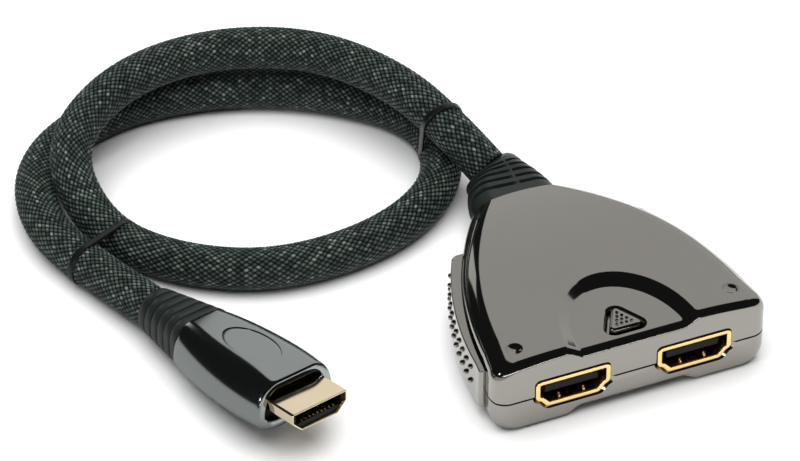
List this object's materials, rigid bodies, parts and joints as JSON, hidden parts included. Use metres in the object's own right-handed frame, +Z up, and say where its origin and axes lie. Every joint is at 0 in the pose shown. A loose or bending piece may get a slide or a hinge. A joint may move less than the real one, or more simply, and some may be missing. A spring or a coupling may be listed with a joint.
{
  "type": "video switch",
  "caption": "Fan-shaped glossy switch box with a push button on top, sockets on its wide front, side grips and a captive braided cable that ends in a plug.",
  "frame": {"origin": "on the table, under the middle of the box with its grips, socket lips and boot, without the free cable and plug", "axes": "-Y out of the socket face, +Y towards the cable boot, +Z up, +X to the right when the sockets face the viewer"},
  "size_m": [0.1225, 0.1275, 0.0199],
  "materials": {
    "case": "gloss",
    "cover": "gloss",
    "gold": "polished",
    "black_plastic": "satin",
    "boot_rubber": "satin",
    "braid": "woven",
    "tie": "satin",
    "jacket": "matt",
    "board": "satin",
    "chip": "matt",
    "led": "clear",
    "dark_window": "smoked",
    "steel": "plain",
    "ferrule": "crimped",
    "wire_insulation": "gloss"
  },
  "bodies": {
    "housing": {"top_shell": "case", "bottom_shell": "case", "circuit_board": "board", "port_leds": "led", "switch_chip": "chip", "board_components": "chip", "push_switch_body": "chip", "switch_dome": "steel", "case_screws": "steel", "side_grip_right": "case", "side_grip_left": "case", "housing_boot": "boot_rubber", "cable_tail": "jacket", "crimp_ferrule": "ferrule", "inner_wires": "wire_insulation", "cable": "braid", "tie_near_housing": "tie", "tie_near_plug": "tie", "left_socket_shell": "gold", "right_socket_shell": "gold", "left_socket_tongue": "black_plastic", "right_socket_tongue": "black_plastic", "left_socket_contacts": "gold", "right_socket_contacts": "gold", "left_light_pipe": "dark_window", "right_light_pipe": "dark_window", "plug_shell": "gold", "plug_insulator": "black_plastic", "plug_contacts": "gold", "plug_core": "black_plastic", "plug_cover": "cover", "plug_badge": "cover", "plug_boot": "boot_rubber", "plug_cable_tail": "jacket"},
    "button": {"select_button": "case", "switch_plunger": "black_plastic"}
  },
  "joints": [
    {"name": "button_press", "type": "slide", "parent": "housing", "child": "button", "axis": [0, 0, -1], "range_m": [0, 0.0007], "stiffness_N_per_m": 1200, "deforming": ["switch_dome"]}
  ]
}
